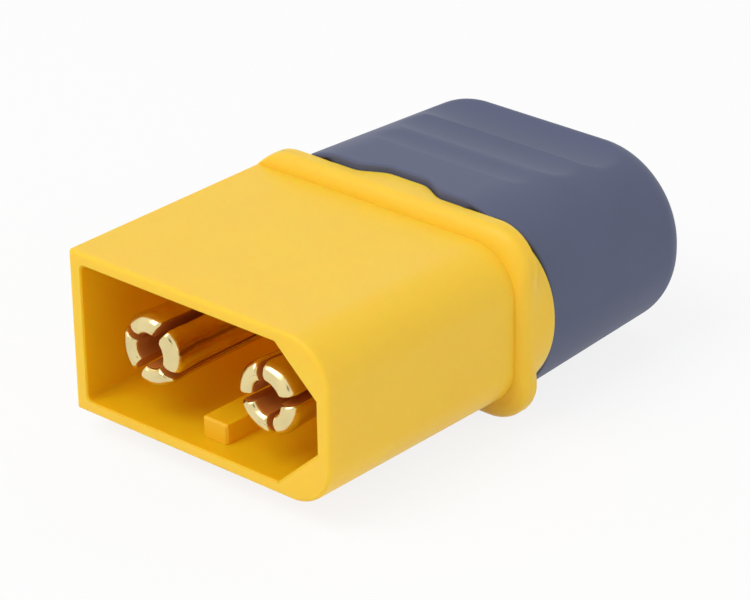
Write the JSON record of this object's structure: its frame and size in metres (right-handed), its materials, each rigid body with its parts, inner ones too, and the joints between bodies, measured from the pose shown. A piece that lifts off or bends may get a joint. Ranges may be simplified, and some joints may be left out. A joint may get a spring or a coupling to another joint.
{
  "type": "two-pin power connector plug",
  "caption": "Keyed power plug: moulded shell with a square and a cut-corner side, split gold-plated pins, tongued flange and a pull-off cover over the solder cups.",
  "frame": {"origin": "centre of the mouth plane of the shroud, midway between the axes of the two contacts", "axes": "+Y runs rearwards from the mouth to the wire entry, +X points to the side with the cut corners, +Z is square to the wide faces and points away from the key"},
  "size_m": [0.0168, 0.0252, 0.0104],
  "materials": {
    "shell_nylon": "satin",
    "cover_nylon": "satin",
    "contact_gold": "polished"
  },
  "bodies": {
    "plug": {"housing": "shell_nylon", "contact_positive": "contact_gold", "contact_negative": "contact_gold"},
    "cover": {"wire_cover": "cover_nylon"}
  },
  "joints": [
    {"name": "cover_slide", "type": "slide", "parent": "plug", "child": "cover", "axis": [0, 1, 0], "range_m": [0, 0.012]}
  ]
}
